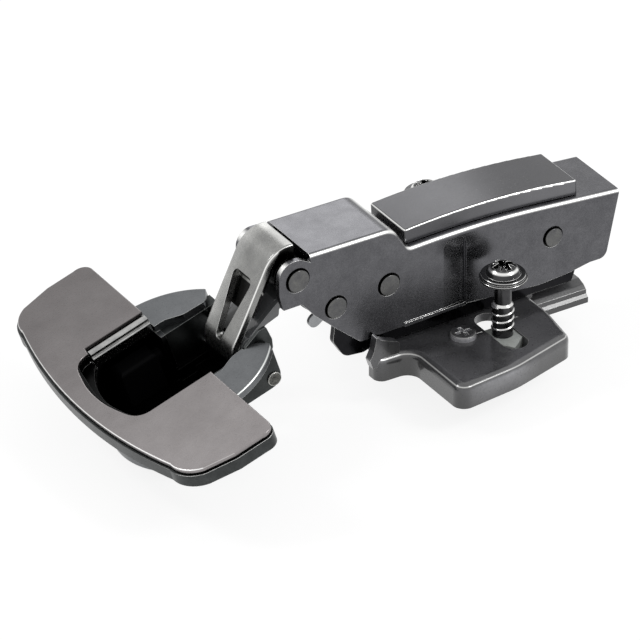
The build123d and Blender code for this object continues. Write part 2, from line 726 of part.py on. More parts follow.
# Cover cap over the adjusting screws
cap_half = 6.1
cap_wall = 1.2
cap_front = -16.9
cap_rear = 22.1
cap_lean = 0.4            # how far each end leans
cap_top_front = 28.25
cap_top_middle = 28.9
cap_top_rear = 27.3
cap_middle_x = 3.0
cap_corner = 0.5
cap_seat = 0.15           # gap between the cap and the arm below it
cap_foot = 22.0
with BuildPart() as cover_cap:
    for inset, mode in ((0.0, Mode.ADD), (cap_wall, Mode.SUBTRACT)):
        with BuildSketch(Plane.XZ):
            with BuildLine():
                front_top = (cap_front + inset, cap_top_front - inset)
                rear_top = (cap_rear - cap_lean - inset, cap_top_rear - inset)
                Line((cap_front + cap_lean + inset, cap_foot), front_top)
                ThreePointArc(front_top, (cap_middle_x, cap_top_middle - inset), rear_top)
                Line(rear_top, (cap_rear - inset, cap_foot))
                Line((cap_rear - inset, cap_foot), (cap_front + cap_lean + inset, cap_foot))
            make_face()
        extrude(amount=cap_half - inset, both=True, mode=mode)
        if inset == 0.0:
            upright = cover_cap.edges().filter_by(Axis.Z, tolerance=12)
            fillet(upright, cap_corner)
            fillet(cover_cap.faces().sort_by(Axis.Z)[-1].outer_wire().edges(), cap_corner - 0.1)
    with BuildSketch(Plane.XZ):
        with BuildLine():
            over = parallel([(a, b) for a, b, r in deck[:-1]] + [deck_end], -cap_seat)
            radii = [0, deck[1][2] + cap_seat, deck[2][2] - cap_seat, deck[3][2] + cap_seat, 0]
            below = [(a, b, r) for (a, b), r in zip(over, radii)]
            rounded([(plate_front, 0, 0)] + below + [(deck_end[0], 0, 0)])
        make_face()
    extrude(amount=cap_half + 1, both=True, mode=Mode.SUBTRACT)
cover_cap.part.label = "cover_cap"
export_step(cover_cap.part, "parts/cover_cap.step")

# ================= clip adapter =================
adapter_half = 6.2
adapter_wall = 1.2
adapter_side = [
    (-27.4, 14.5, 2.0),
    (-29.3, 12.6, 0.6),
    (-32.3, 12.4, 0.4),
    (-32.7, 9.0, 1.8),
    (-30.2, 5.1, 2.5),
    (-25.9, 4.7, 2.0),
    (-23.9, 5.4, 1.0),
    (21.0, 5.4, 0.8),
    (22.0, 9.0, 1.0),
    (20.0, 21.0, 1.0),
    (12.0, 22.0, 1.0),
    (-24.0, 22.0, 1.0),
    (-26.0, 21.0, 1.0),
]
hook_short = [(-36.0, 14.2), (-24.4, 3.6), (-36.0, 3.6)]   # the far cheek has no hook below this line
seat_front = -30.0
seat_z = 10.7
seat_thick = 1.2
hook_rear = -27.0
latch_air = 1.0
with BuildPart() as clip_adapter:
    with BuildSketch(Plane.XZ):
        with BuildLine():
            rounded(adapter_side)
        make_face()
    extrude(amount=adapter_half, both=True)
    with Locations(((hook_rear + 40) / 2, 0, (seat_z + seat_thick + 30) / 2)):
        Box(40 - hook_rear, 2 * (adapter_half - adapter_wall), 30 - seat_z - seat_thick, mode=Mode.SUBTRACT)
    Box(80, 2 * (adapter_half - adapter_wall), 2 * seat_z, mode=Mode.SUBTRACT)
    with Locations((seat_front - 5, 0, seat_z)):
        Box(10, 2 * (adapter_half - adapter_wall), 10, mode=Mode.SUBTRACT)
    with BuildSketch(Plane.XZ.offset(-adapter_half)):
        with BuildLine():
            Polyline(*hook_short, close=True)
        make_face()
    extrude(amount=adapter_wall + 0.1, mode=Mode.SUBTRACT)
    with Locations((26.5, 0, seat_z + seat_thick / 2)):
        Box(27, 2 * (adapter_half - adapter_wall), 2 * seat_thick, mode=Mode.SUBTRACT)
    with Locations(side_axis(*adapter_pivot).location):
        Cylinder(adapter_pin_r + pin_gap, 20, mode=Mode.SUBTRACT)
    with Locations(side_axis(*latch_pivot).location):
        Cylinder(latch_pin_r + latch_air, 20, mode=Mode.SUBTRACT)
    with Locations((depth_x, 0, seat_z)):
        Cylinder(1.5 + pin_gap, 8, mode=Mode.SUBTRACT)
clip_adapter.part.label = "clip_adapter"
export_step(clip_adapter.part, "parts/clip_adapter.step")

# Release latch on the rear pin
latch_half = 4.4
with BuildPart() as release_latch:
    with BuildSketch(Plane.XZ):
        with Locations(latch_pivot):
            Circle(3.3)
        with BuildLine():
            Polyline((14.0, 15.0), (19.0, 12.9), (27.0, 12.6), (27.6, 14.6), (20.5, 16.4), (16.5, 20.5), close=True)
        make_face()
    extrude(amount=latch_half, both=True)
    with Locations(side_axis(*latch_pivot).location):
        Cylinder(latch_pin_r + pin_gap, 20, mode=Mode.SUBTRACT)
release_latch.part.label = "release_latch"
export_step(release_latch.part, "parts/release_latch.step")

# Depth cam turning in the adapter web, reached through the arm
cam_foot = 10.9
with BuildPart() as depth_cam:
    with Locations((depth_x, 0, (cam_foot + seat_z + seat_thick + 0.3) / 2)):
        Cylinder(1.5, seat_z + seat_thick + 0.3 - cam_foot)
    with Locations((depth_x, 0, (seat_z + seat_thick + 0.1 + 23.4) / 2)):
        Cylinder(depth_head_r, 23.4 - seat_z - seat_thick - 0.1)
    with Locations((depth_x, 0, 23.4)):
        Box(3.6, 0.9, 2.0, mode=Mode.SUBTRACT)
        Box(0.9, 3.6, 2.0, mode=Mode.SUBTRACT)
depth_cam.part.label = "depth_cam"
export_step(depth_cam.part, "parts/depth_cam.step")

# Overlay screw in the arm
overlay_head = 3.0
overlay_seat = 25.65
overlay_top = overlay_seat + 1.1
overlay_foot = seat_z + seat_thick + 0.5
with BuildPart() as overlay_screw:
    with Locations((overlay_x, 0, (overlay_foot + overlay_seat) / 2)):
        Cylinder(overlay_r, overlay_seat - overlay_foot)
    with Locations((overlay_x, 0, (overlay_seat + overlay_top) / 2)):
        Cylinder(overlay_head, overlay_top - overlay_seat)
    with Locations((overlay_x, 0, overlay_top)):
        Box(4.0, 0.9, 1.4, mode=Mode.SUBTRACT)
        Box(0.9, 4.0, 1.4, mode=Mode.SUBTRACT)
overlay_screw.part.label = "overlay_screw"
export_step(overlay_screw.part, "parts/overlay_screw.step")

# ================= mounting plate =================
plate_thick = 4.9
plate_round = 1.6
rail_half = 4.6
rail_high = 10.6
slot_half = 2.6
slot_near = 6.6
slot_far = 20.9
slot_mid = (slot_near + slot_far) / 2
cam_place = (-7.1, 11.5)
cam_r = 2.5
fork_inner = 7.0
fork_root = -20.6
fork_tip = -25.5
plate_rear = 12.0
far_tip = -21.8           # the far prong is cut off here
plate_edge = [            # half outline of the cross plate
    (plate_rear, -11.5, 12.0),
    (10.5, -21.75, 2.6),
    (-4.0, -25.9, 20.0),
    (-17.9, -27.5, 2.4),
    (-18.0, -10.8, 2.8),
    (fork_tip, -10.7, 1.9),
    (fork_tip, -fork_inner, 0.5),
    (fork_root, -fork_inner, 0.8),
]
pocket = (-4.0, 7.2)      # x range of the hollow under the plate
pocket_high = 3.2
pocket_half = 12.0
tick = (1.9, 0.25, 0.15)  # engraved mark beside the slot and the cam
ticks = ((-4.2, -12.1), (4.7, -11.1))
ridge_end = 24.3
ridge = [                 # half section of the low ridge at the rear
    (7.0, 0, 0),
    (7.0, 1.1, 0.3),
    (6.3, 1.7, 0.2),
    (6.3, 2.5, 0.3),
    (5.3, 3.25, 0.8),
    (3.7, 3.8, 0.8),
]
horn_y = 9.1
horn_thick = 1.7
horn = [
    (-20.2, 3.0, 0),
    (-26.2, 3.0, 0),
    (-26.8, 4.8, 0.4),
    (-25.9, 6.7, 1.0),
    (-25.3, 9.9, 0.3),
    (-24.4, 8.7, 0.6),
    (-20.4, 7.1, 0.5),
]
with BuildPart() as mounting_plate:
    with BuildSketch(Plane.XY):
        with BuildLine():
            rounded(mirrored(plate_edge))
        make_face()
    extrude(amount=plate_thick)
    fillet(mounting_plate.faces().sort_by(Axis.Z)[-1].outer_wire().edges(), plate_round)
    with Locations((fork_tip, fork_inner + 2, plate_thick / 2)):
        Box(2 * (far_tip - fork_tip), 2 * fork_inner, plate_thick, mode=Mode.SUBTRACT)
    with BuildSketch(Plane.YZ.offset(plate_rear - 3)):
        with BuildLine():
            rounded(ridge + [(-a, b, r) for a, b, r in ridge[::-1]])
        make_face()
    extrude(amount=ridge_end - plate_rear + 3)
    with Locations((-3.7, 0, rail_high / 2)):
        Box(33.4, 2 * rail_half, rail_high)
    with Locations(((pocket[0] + pocket[1]) / 2, 0, pocket_high / 2)):
        Box(pocket[1] - pocket[0], 2 * pocket_half, pocket_high, mode=Mode.SUBTRACT)
    for x, y in ticks:
        with Locations((x, y, plate_thick)):
            Box(tick[0], tick[1], 2 * tick[2], mode=Mode.SUBTRACT)
    for side in (-1, 1):
        with BuildSketch(Plane.XY):
            with Locations((0, side * slot_mid)):
                SlotOverall(slot_far - slot_near, 2 * slot_half, rotation=90)
            with Locations((cam_place[0], side * cam_place[1])):
                if side < 0:
                    Circle(cam_r + slide_gap)
        extrude(amount=plate_thick, mode=Mode.SUBTRACT)
    with BuildSketch(Plane.XZ.offset(horn_y)):
        with BuildLine():
            rounded(horn)
        make_face()
    extrude(amount=horn_thick / 2, both=True)
mounting_plate.part.label = "mounting_plate"
export_step(mounting_plate.part, "parts/mounting_plate.step")

# Height cam in the near wing
with BuildPart() as height_cam:
    with Locations((cam_place[0], -cam_place[1], 3.2)):
        Cylinder(cam_r, 5.4)
    fillet(height_cam.edges().sort_by(Axis.Z)[-1], 0.5)
    with Locations((cam_place[0], -cam_place[1], 5.9)):
        Box(3.2, 0.8, 1.4, mode=Mode.SUBTRACT)
        Box(0.8, 3.2, 1.4, mode=Mode.SUBTRACT)
height_cam.part.label = "height_cam"
export_step(height_cam.part, "parts/height_cam.step")

# Sliding sleeves in the slots and the fixing screws standing in them
slider_half = slot_half - slide_gap
slider_z = (0.3, 4.6)
slider_back = 2.6         # from the screw to the blunt end of its sleeve
near_screw = (0.0, -14.15)
far_screw = (0.0, 12.7)
near_head = 18.0
far_head = 22.3
screw_length = 17.4
thread_r = 2.0
thread_end = 6.8          # the thread stops this far below the head
shank_r = 1.65
head_flange_r = 4.65
flange_thick = 1.3
bead = 0.25               # half height of each rounded bead on the flange
dome_r = 3.35
dome_high = 1.6
recess_wide = 1.1
recess_long = 4.2
star_wide = 0.3
for name, place, tip in (("slider_near", near_screw, -1), ("slider_far", far_screw, 1)):
    with BuildPart() as slider:
        with BuildSketch(Plane.XY.offset(slider_z[0])):
            with BuildLine():
                Polyline(
                    (-slider_half, place[1] + tip * 3.4),
                    (-0.9, place[1] + tip * 5.6),
                    (slider_half, place[1] + tip * 3.0),
                    (slider_half, place[1] - tip * slider_back),
                    (-slider_half, place[1] - tip * slider_back),
                    close=True,
                )
            make_face()
            with Locations(place):
                Circle(thread_r + pin_gap, mode=Mode.SUBTRACT)
        extrude(amount=slider_z[1] - slider_z[0])
    slider.part.label = name
    export_step(slider.part, "parts/" + name + ".step")

for name, place, head_z in (("fixing_screw_near", near_screw, near_head), ("fixing_screw_far", far_screw, far_head)):
    tip_z = head_z - screw_length
    low = head_z - flange_thick
    with BuildPart() as fixing_screw:
        with BuildSketch(Plane(origin=(place[0], place[1], 0), x_dir=(1, 0, 0), z_dir=(0, -1, 0))):
            with BuildLine():
                Polyline(
                    (0, tip_z), (thread_r - 0.5, tip_z), (thread_r, tip_z + 0.8),
                    (thread_r, head_z - thread_end), (shank_r, head_z - thread_end + 0.4), (shank_r, low),
                    (head_flange_r - bead, low),
                )
                ThreePointArc(
                    (head_flange_r - bead, low), (head_flange_r, low + bead), (head_flange_r - bead, low + 2 * bead)
                )
                Line((head_flange_r - bead, low + 2 * bead), (head_flange_r - 0.45, low + 2 * bead + 0.1))
                ThreePointArc(
                    (head_flange_r - 0.45, low + 2 * bead + 0.1),
                    (head_flange_r - 0.3, low + 3 * bead + 0.15),
                    (head_flange_r - 0.65, head_z - 0.1),
                )
                Line((head_flange_r - 0.65, head_z - 0.1), (dome_r, head_z - 0.1))
                ThreePointArc((dome_r, head_z - 0.1), (dome_r * 0.8, head_z + dome_high * 0.65), (0, head_z + dome_high))
                Line((0, head_z + dome_high), (0, tip_z))
            make_face()
        revolve(axis=Axis((place[0], place[1], 0), (0, 0, 1)))
        for turn, wide, deep in ((0, recess_wide, 3.2), (90, recess_wide, 3.2), (45, star_wide, 1.8), (135, star_wide, 1.8)):
            with Locations(Location((place[0], place[1], head_z + dome_high), (0, 0, turn))):
                Box(recess_long, wide, deep, mode=Mode.SUBTRACT)
    fixing_screw.part.label = name
    export_step(fixing_screw.part, "parts/" + name + ".step")
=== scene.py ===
import json
import math

import bmesh
import bpy
from mathutils import Matrix, Vector


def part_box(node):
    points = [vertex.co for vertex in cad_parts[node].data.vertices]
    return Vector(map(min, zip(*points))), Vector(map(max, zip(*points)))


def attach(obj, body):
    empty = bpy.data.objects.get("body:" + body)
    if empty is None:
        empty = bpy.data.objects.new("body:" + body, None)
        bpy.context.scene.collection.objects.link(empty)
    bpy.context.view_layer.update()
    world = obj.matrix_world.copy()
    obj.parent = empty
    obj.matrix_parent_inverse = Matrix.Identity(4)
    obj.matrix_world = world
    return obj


# Looks of a concealed cup hinge. The frame is in metres: X runs along the arm, Y across it and
# Z out of the cabinet face. Sizes are written in millimetres.

MM = 0.001
LENGTHWISE = (1, 0, 0)
ACROSS = (0, 1, 0)
OUTWARD = (0, 0, 1)

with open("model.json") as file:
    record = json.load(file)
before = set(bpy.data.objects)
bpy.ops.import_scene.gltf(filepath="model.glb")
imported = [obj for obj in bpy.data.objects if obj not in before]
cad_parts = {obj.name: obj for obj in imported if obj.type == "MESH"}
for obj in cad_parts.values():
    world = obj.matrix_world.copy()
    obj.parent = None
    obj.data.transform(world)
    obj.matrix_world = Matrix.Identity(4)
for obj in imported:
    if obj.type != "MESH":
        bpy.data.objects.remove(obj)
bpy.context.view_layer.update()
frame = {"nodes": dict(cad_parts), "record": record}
BODY = {
    node: body
    for body, nodes in frame["record"]["behaviour"]["bodies"].items()
    for node in nodes
}

# ---------------------------------------------------------------- places on the hinge
CUP_TILT = math.radians(18)         # the cup leans back by this
CUP_AXIS = (-math.sin(CUP_TILT), 0, math.cos(CUP_TILT))
CUP_FRONT = (-math.cos(CUP_TILT), 0, -math.sin(CUP_TILT))
WING_EDGE = Vector((-62.48, 0, 15.31)) * MM             # middle of the wing's rear edge
CUP_CENTRE = WING_EDGE + 0.6 * MM * Vector(CUP_FRONT)
CUP_RIM = WING_EDGE.dot(CUP_AXIS) - 2.2 * MM            # level of the lobes round the cup
MOUTH_FRONT = WING_EDGE.dot(CUP_FRONT) + 18.75 * MM     # front end of the wing's opening
STRAP_PIVOT = (-41.26 * MM, 0, 25.99 * MM)
STRAP_SLOPE = math.radians(64.5)    # slope of the strap's straight part
STRAP_INWARD = (math.sin(STRAP_SLOPE), 0, -math.cos(STRAP_SLOPE))
STEP = 0.1 * MM                     # width over which a painted shade fades in at its border

# ---------------------------------------------------------------- camera
VIEW_AZIMUTH = -31.72       # degrees round Z from looking along +Y
VIEW_ELEVATION = 31.24      # degrees above level
VIEW_ROLL = -0.15
VIEW_SIDE = 640             # pixels
FOCAL_PIXELS = 6488
PIXELS_PER_MM = 5.249       # at the frame's origin
ORIGIN_AT = (461.5, 321.0)  # pixel of the frame's origin
SENSOR_MM = 36.0
FAR_LIMIT = 10              # metres


def view_axes():
    """Right, up and back of the camera in the frame."""
    turn = math.radians(VIEW_AZIMUTH)
    lift = math.radians(VIEW_ELEVATION)
    back = Vector(
        (math.sin(turn) * math.cos(lift), -math.cos(turn) * math.cos(lift), math.sin(lift))
    )
    right = Vector((math.cos(turn), math.sin(turn), 0))
    up = back.cross(right)
    roll = math.radians(VIEW_ROLL)
    return (
        math.cos(roll) * right + math.sin(roll) * up,
        math.cos(roll) * up - math.sin(roll) * right,
        back,
    )


def make_camera():
    """Camera far behind its view, moved so that the frame's origin falls on its pixel."""
    right, up, back = view_axes()
    distance = FOCAL_PIXELS / PIXELS_PER_MM * MM
    half = VIEW_SIDE / 2
    aside = (ORIGIN_AT[0] - half) / FOCAL_PIXELS * distance
    below = (ORIGIN_AT[1] - half) / FOCAL_PIXELS * distance
    data = bpy.data.cameras.new("camera")
    data.sensor_width = SENSOR_MM
    data.lens = SENSOR_MM * FOCAL_PIXELS / VIEW_SIDE
    data.clip_end = FAR_LIMIT
    camera = bpy.data.objects.new("camera", data)
    bpy.context.scene.collection.objects.link(camera)
    turn = Matrix((right, up, back)).transposed().to_4x4()
    place = back * distance - right * aside + up * below
    camera.matrix_world = Matrix.Translation(place) @ turn
    bpy.context.scene.camera = camera


# ---------------------------------------------------------------- colours and nodes
def colour(text):
    """Linear RGBA of an sRGB hex colour."""
    channels = []
    for place in (1, 3, 5):
        value = int(text[place:place + 2], 16) / 255
        linear = value / 12.92 if value <= 0.04045 else ((value + 0.055) / 1.055) ** 2.4
        channels.append(linear)
    return (*channels, 1.0)


def add(tree, kind, inputs=(), **settings):
    """Adds a node; its inputs, in order or by name, take values, sockets or other nodes."""
    made = tree.nodes.new("ShaderNode" + kind)
    for name, value in settings.items():
        setattr(made, name, value)
    pairs = inputs.items() if isinstance(inputs, dict) else enumerate(inputs)
    for name, value in pairs:
        if isinstance(value, bpy.types.Node):
            value = next(out for out in value.outputs if out.enabled)
        if isinstance(value, bpy.types.NodeSocket):
            tree.links.new(value, made.inputs[name])
        else:
            made.inputs[name].default_value = value
    return made


def per_metre(size_mm):
    """Pattern scale for a feature of that real size."""
    return 1.0 / (size_mm * MM)


def new_material(name):
    """New node material with its tree and shader."""
    material = bpy.data.materials.new(name)
    material.use_nodes = True
    return material, material.node_tree, material.node_tree.nodes["Principled BSDF"]


# ---------------------------------------------------------------- where painted light and shade fall
def painted_fillet_highlight(tree, coords, axis, start):
    """1 on edges rounded over from the faces along an axis, where they take a painted highlight.
    """
    lean = add(tree, "VectorMath", (coords.outputs["Normal"], axis), operation="DOT_PRODUCT")
    square = add(tree, "Math", (lean, lean), operation="MULTIPLY")
    rest = add(tree, "Math", (1.0, square), operation="SUBTRACT")
    slant = add(tree, "Math", (square, rest), operation="MULTIPLY")
    steepest = 0.25     # the slant at 45 degrees
    return add(tree, "MapRange", (slant, start * steepest, steepest))


def upright(tree, coords):
    """1 on faces that stand up, 0 on those that lie flat."""
    flat_from, upright_to = 0.6, 0.3    # upward part of the face's direction
    z = add(tree, "VectorMath", (coords.outputs["Normal"], OUTWARD), operation="DOT_PRODUCT")
    lean = add(tree, "Math", (z,), operation="ABSOLUTE")
    return add(tree, "MapRange", (lean, flat_from, upright_to))


def painted_cup_shade(tree, coords):
    """Painted shade: fades to black down inside the cup."""
    bore, fade_start, fade_end, black = 17.3 * MM, 0.4 * MM, 3.0 * MM, 0.03
    place = coords.outputs["Object"]
    offset = add(tree, "VectorMath", (place, CUP_CENTRE), operation="SUBTRACT")
    aside = add(tree, "VectorMath", (offset, CUP_AXIS), operation="CROSS_PRODUCT")
    radius = add(tree, "VectorMath", (aside,), operation="LENGTH")
    inner = add(tree, "MapRange", (radius, bore, bore - STEP))
    level = add(tree, "VectorMath", (place, CUP_AXIS), operation="DOT_PRODUCT")
    low = add(tree, "MapRange", (level, CUP_RIM - fade_start, CUP_RIM - fade_end))
    deep = add(tree, "Math", (inner, low), operation="MULTIPLY")
    return add(tree, "MapRange", (deep, 0.0, 1.0, 1.0, black))


def painted_pin_shade(tree, coords):
    """Painted shade: blackens the sides of the riveted pins and leaves their ends as they are."""
    side_end, lit_end, black = 8.08 * MM, 8.14 * MM, 0.03
    y = add(tree, "VectorMath", (coords.outputs["Object"], ACROSS), operation="DOT_PRODUCT")
    reach = add(tree, "Math", (y,), operation="ABSOLUTE")
    return add(tree, "MapRange", (reach, side_end, lit_end, black, 1.0))


def painted_strap_shade_and_sheen(tree, coords):
    """Painted shade and sheen: blackens the inner side of the rolled strap and brightens it
    towards its far edge.
    """
    inner_face, outer_face = -4.45 * MM, -4.8 * MM      # depth of the sheet's two sides
    roll_inside, roll_outside = 6.05 * MM, 6.5 * MM     # radii of the roll round the pin
    near, far = 1.5 * MM, 4.5 * MM
    black, near_shine, far_shine = 0.04, 1.05, 1.65
    place = coords.outputs["Object"]
    offset = add(tree, "VectorMath", (place, STRAP_PIVOT), operation="SUBTRACT")
    inward = add(tree, "VectorMath", (offset, STRAP_INWARD), operation="DOT_PRODUCT")
    section = add(tree, "VectorMath", (offset, (1, 0, 1)), operation="MULTIPLY")
    radius = add(tree, "VectorMath", (section,), operation="LENGTH")
    past_inside = add(tree, "MapRange", (radius, roll_inside, roll_inside + STEP))
    within = add(tree, "MapRange", (radius, roll_outside, roll_outside - STEP))
    roll = add(tree, "Math", (past_inside, within), operation="MULTIPLY")
    sheet = add(tree, "MapRange", (inward, inner_face, outer_face))
    outside = add(tree, "Math", (sheet, roll), operation="MAXIMUM")
    tone = add(tree, "MapRange", (outside, 0.0, 1.0, black, 1.0))
    y = add(tree, "VectorMath", (place, ACROSS), operation="DOT_PRODUCT")
    shine = add(tree, "MapRange", (y, near, far, near_shine, far_shine))
    return add(tree, "Math", (tone, shine), operation="MULTIPLY")


def painted_wing_sheen(tree, coords):
    """Painted sheen: the flat top grows a little brighter from the wing's far end to its near end.
    """
    far_end, near_end, far_shine, near_shine = 25 * MM, -32 * MM, 0.78, 1.3
    y = add(tree, "VectorMath", (coords.outputs["Object"], ACROSS), operation="DOT_PRODUCT")
    return add(tree, "MapRange", (y, far_end, near_end, far_shine, near_shine))


def painted_mouth_shade(tree, coords):
    """Painted shade on the shelf just inside the wing's opening."""
    shelf_side, shelf_front, dark = 12.3 * MM, 1.2 * MM, 0.1
    place = coords.outputs["Object"]
    y = add(tree, "VectorMath", (place, ACROSS), operation="DOT_PRODUCT")
    reach = add(tree, "Math", (y,), operation="ABSOLUTE")
    beside = add(tree, "MapRange", (reach, shelf_side, shelf_side - STEP))
    ahead = add(tree, "VectorMath", (place, CUP_FRONT), operation="DOT_PRODUCT")
    front_end = MOUTH_FRONT + shelf_front
    behind = add(tree, "MapRange", (ahead, front_end, front_end - 2 * STEP))
    shelf = add(tree, "Math", (beside, behind), operation="MULTIPLY")
    return add(tree, "MapRange", (shelf, 0.0, 1.0, 1.0, dark))


def painted_plate_light_and_shade(tree, coords):
    """Painted highlight on the middle of the plate's sides and its horn; painted shade on the
    foot, fork and rear.
    """
    foot_bottom, foot_top, foot_dark = 0.3 * MM, 4.4 * MM, 0.25
    fork_rear, sheen_front, fork_dark, sheen_peak = -19.0 * MM, -10.0 * MM, 0.3, 6.0
    sheen_rear, rear_front, rear_dark = -6.0 * MM, 2.0 * MM, 0.2
    horn_rear, horn_front, horn_shine = -23.0 * MM, -24.5 * MM, 5.0
    place = coords.outputs["Object"]
    z = add(tree, "VectorMath", (place, OUTWARD), operation="DOT_PRODUCT")
    foot = add(tree, "MapRange", (z, foot_bottom, foot_top, foot_dark, 1.0))
    x = add(tree, "VectorMath", (place, LENGTHWISE), operation="DOT_PRODUCT")
    rise = add(tree, "MapRange", (x, fork_rear, sheen_front, fork_dark, sheen_peak))
    fall = add(tree, "MapRange", (x, sheen_rear, rear_front, 1.0, rear_dark))
    middle = add(tree, "Math", (rise, fall), operation="MULTIPLY")
    sides = add(tree, "Mix", {"Factor": upright(tree, coords), "A": 1.0, "B": middle})
    horn = add(tree, "MapRange", (x, horn_rear, horn_front, 1.0, horn_shine))
    below = add(tree, "Math", (foot, sides), operation="MULTIPLY")
    return add(tree, "Math", (below, horn), operation="MULTIPLY")


def painted_cap_light(tree, coords):
    """Painted light: lifts the cap's sides and brightens it from its front end to its rear end."""
    front_end, rear_end, front_shine, rear_shine, side_shine = -18 * MM, 18 * MM, 0.8, 1.3, 1.75
    x = add(tree, "VectorMath", (coords.outputs["Object"], LENGTHWISE), operation="DOT_PRODUCT")
    top = add(tree, "MapRange", (x, front_end, rear_end, front_shine, rear_shine))
    side = add(tree, "MapRange", (upright(tree, coords), 0.0, 1.0, 1.0, side_shine))
    return add(tree, "Math", (top, side), operation="MULTIPLY")


# ---------------------------------------------------------------- finishes
CLOUD_RANGE = (0.3, 0.7)        # the noise lies mostly between these
PIT_RANGE = (0.35, 0.65)        # the grain's pits and peaks lie past these
GLOSS_LOW, GLOSS_HIGH = 0.85, 1.15      # share of the roughness at the grain's ends
EDGE_HIGHLIGHT_RANGE = (0.98, 0.85)     # cosine of the turn at which an edge's painted highlight starts, and is full
FACING_RANGE = (0.1, 0.3)       # cosine at which an edge starts to face a way, and does
RELIEF_DEPTH = 0.02 * MM
BEVEL_SAMPLES = 6
COAT_ROUGHNESS = 0.12


def plated_steel(
    name, dark, light, edge, roughness, grain_mm, cloud_mm, relief, speckle,
    round_mm=0.12, axis=None, highlight_start=0.8, towards=None, both=False, lacquer=False,
    painted_light=None,
):
    """Plated steel: two close tones in soft clouds, a fine grain, painted highlights on the edges.

    Real grain is finer than grain_mm, and is drawn this coarse so that it shows. Edges are
    rounded to round_mm and painted in the edge colour as a highlight, and so are those that turn
    over from the faces along axis; towards keeps this painted highlight to edges that face that
    way, or both ways. Painted light and shade from a given function are multiplied into the
    colour.
    """
    material, tree, shader = new_material(name)
    coords = add(tree, "TexCoord")
    place = coords.outputs["Object"]
    clouds = add(
        tree, "TexNoise",
        {"Vector": place, "Scale": per_metre(cloud_mm), "Detail": 5.0, "Roughness": 0.65},
    )
    grain = add(
        tree, "TexNoise",
        {"Vector": place, "Scale": per_metre(grain_mm), "Detail": 3.0, "Roughness": 0.7},
    )
    spread = add(tree, "MapRange", (clouds, *CLOUD_RANGE))
    tone = add(
        tree, "Mix", {"Factor": spread, "A": colour(dark), "B": colour(light)}, data_type="RGBA"
    )
    pits = add(tree, "MapRange", (grain, *PIT_RANGE, 1.0 - speckle, 1.0 + speckle))
    speckled = add(
        tree, "Mix", {"Factor": 1.0, "A": tone, "B": pits}, data_type="RGBA", blend_type="MULTIPLY"
    )
    rounded = add(tree, "Bevel", {"Radius": round_mm * MM}, samples=BEVEL_SAMPLES)
    flat = add(tree, "NewGeometry").outputs["Normal"]
    turned = add(tree, "VectorMath", (rounded, flat), operation="DOT_PRODUCT")
    # painted highlight: edges that the Bevel node finds turned take the edge colour
    edge_highlight = add(tree, "MapRange", (turned, *EDGE_HIGHLIGHT_RANGE))
    if axis:
        fillet_highlight = painted_fillet_highlight(tree, coords, axis, highlight_start)
        edge_highlight = add(tree, "Math", (edge_highlight, fillet_highlight), operation="MAXIMUM")
    if towards:
        lean = add(tree, "VectorMath", (rounded, towards), operation="DOT_PRODUCT")
        if both:
            lean = add(tree, "Math", (lean,), operation="ABSOLUTE")
        facing = add(tree, "MapRange", (lean, *FACING_RANGE))
        edge_highlight = add(tree, "Math", (edge_highlight, facing), operation="MULTIPLY")
    surface = add(
        tree, "Mix", {"Factor": edge_highlight, "A": speckled, "B": colour(edge)}, data_type="RGBA"
    )
    # painted light and shade, multiplied into the colour
    if painted_light:
        surface = add(
            tree, "Mix", {"Factor": 1.0, "A": surface, "B": painted_light(tree, coords)},
            data_type="RGBA", blend_type="MULTIPLY",
        )
    gloss = add(
        tree, "MapRange", (grain, *CLOUD_RANGE, roughness * GLOSS_LOW, roughness * GLOSS_HIGH)
    )
    bump = add(
        tree, "Bump",
        {"Height": grain, "Normal": rounded, "Strength": relief, "Distance": RELIEF_DEPTH},
    )
    shader.inputs["Metallic"].default_value = 0.0 if lacquer else 1.0
    if lacquer:
        shader.inputs["Coat Weight"].default_value = 1.0
        shader.inputs["Coat Roughness"].default_value = COAT_ROUGHNESS
    tree.links.new(surface.outputs["Result"], shader.inputs["Base Color"])
    tree.links.new(gloss.outputs["Result"], shader.inputs["Roughness"])
    tree.links.new(bump.outputs["Normal"], shader.inputs["Normal"])
    return material


def moulded_black(name, tone, grain_mm):
    """Moulded acetal: black, faintly shiny, with a fine spark-eroded grain."""
    material, tree, shader = new_material(name)
    place = add(tree, "TexCoord").outputs["Object"]
    grain = add(tree, "TexNoise", {"Vector": place, "Scale": per_metre(grain_mm), "Detail": 2.0})
    bump = add(tree, "Bump", {"Height": grain, "Strength": 0.3, "Distance": RELIEF_DEPTH})
    shader.inputs["Base Color"].default_value = colour(tone)
    shader.inputs["Roughness"].default_value = 0.6
    shader.inputs["IOR"].default_value = 1.48
    shader.inputs["Specular IOR Level"].default_value = 0.04
    tree.links.new(bump.outputs["Normal"], shader.inputs["Normal"])
    return material


# Satin black-nickel plate: the wing's flat top looks like warm grey silk, with a painted
# highlight line round its lip and a painted sheen that grows towards its near end.
wing_plate = plated_steel(
    "satin_black_nickel_plate", "#7d7979", "#898585", "#f2f2f0", roughness=0.30,
    grain_mm=0.35, cloud_mm=7.0, relief=0.1, speckle=0.03,
    axis=CUP_AXIS, highlight_start=0.3, towards=CUP_FRONT, painted_light=painted_wing_sheen,
)
# The same plate on bent strip: a painted highlight where it was rolled, painted shade inside,
# painted sheen to its far edge.
strap_plate = plated_steel(
    "satin_black_nickel_strip", "#7e7e7d", "#90908e", "#f0f0ee", roughness=0.28,
    grain_mm=0.25, cloud_mm=3.0, relief=0.2, speckle=0.12,
    axis=ACROSS, highlight_start=0.6, towards=(0, -1, 0), painted_light=painted_strap_shade_and_sheen,
)
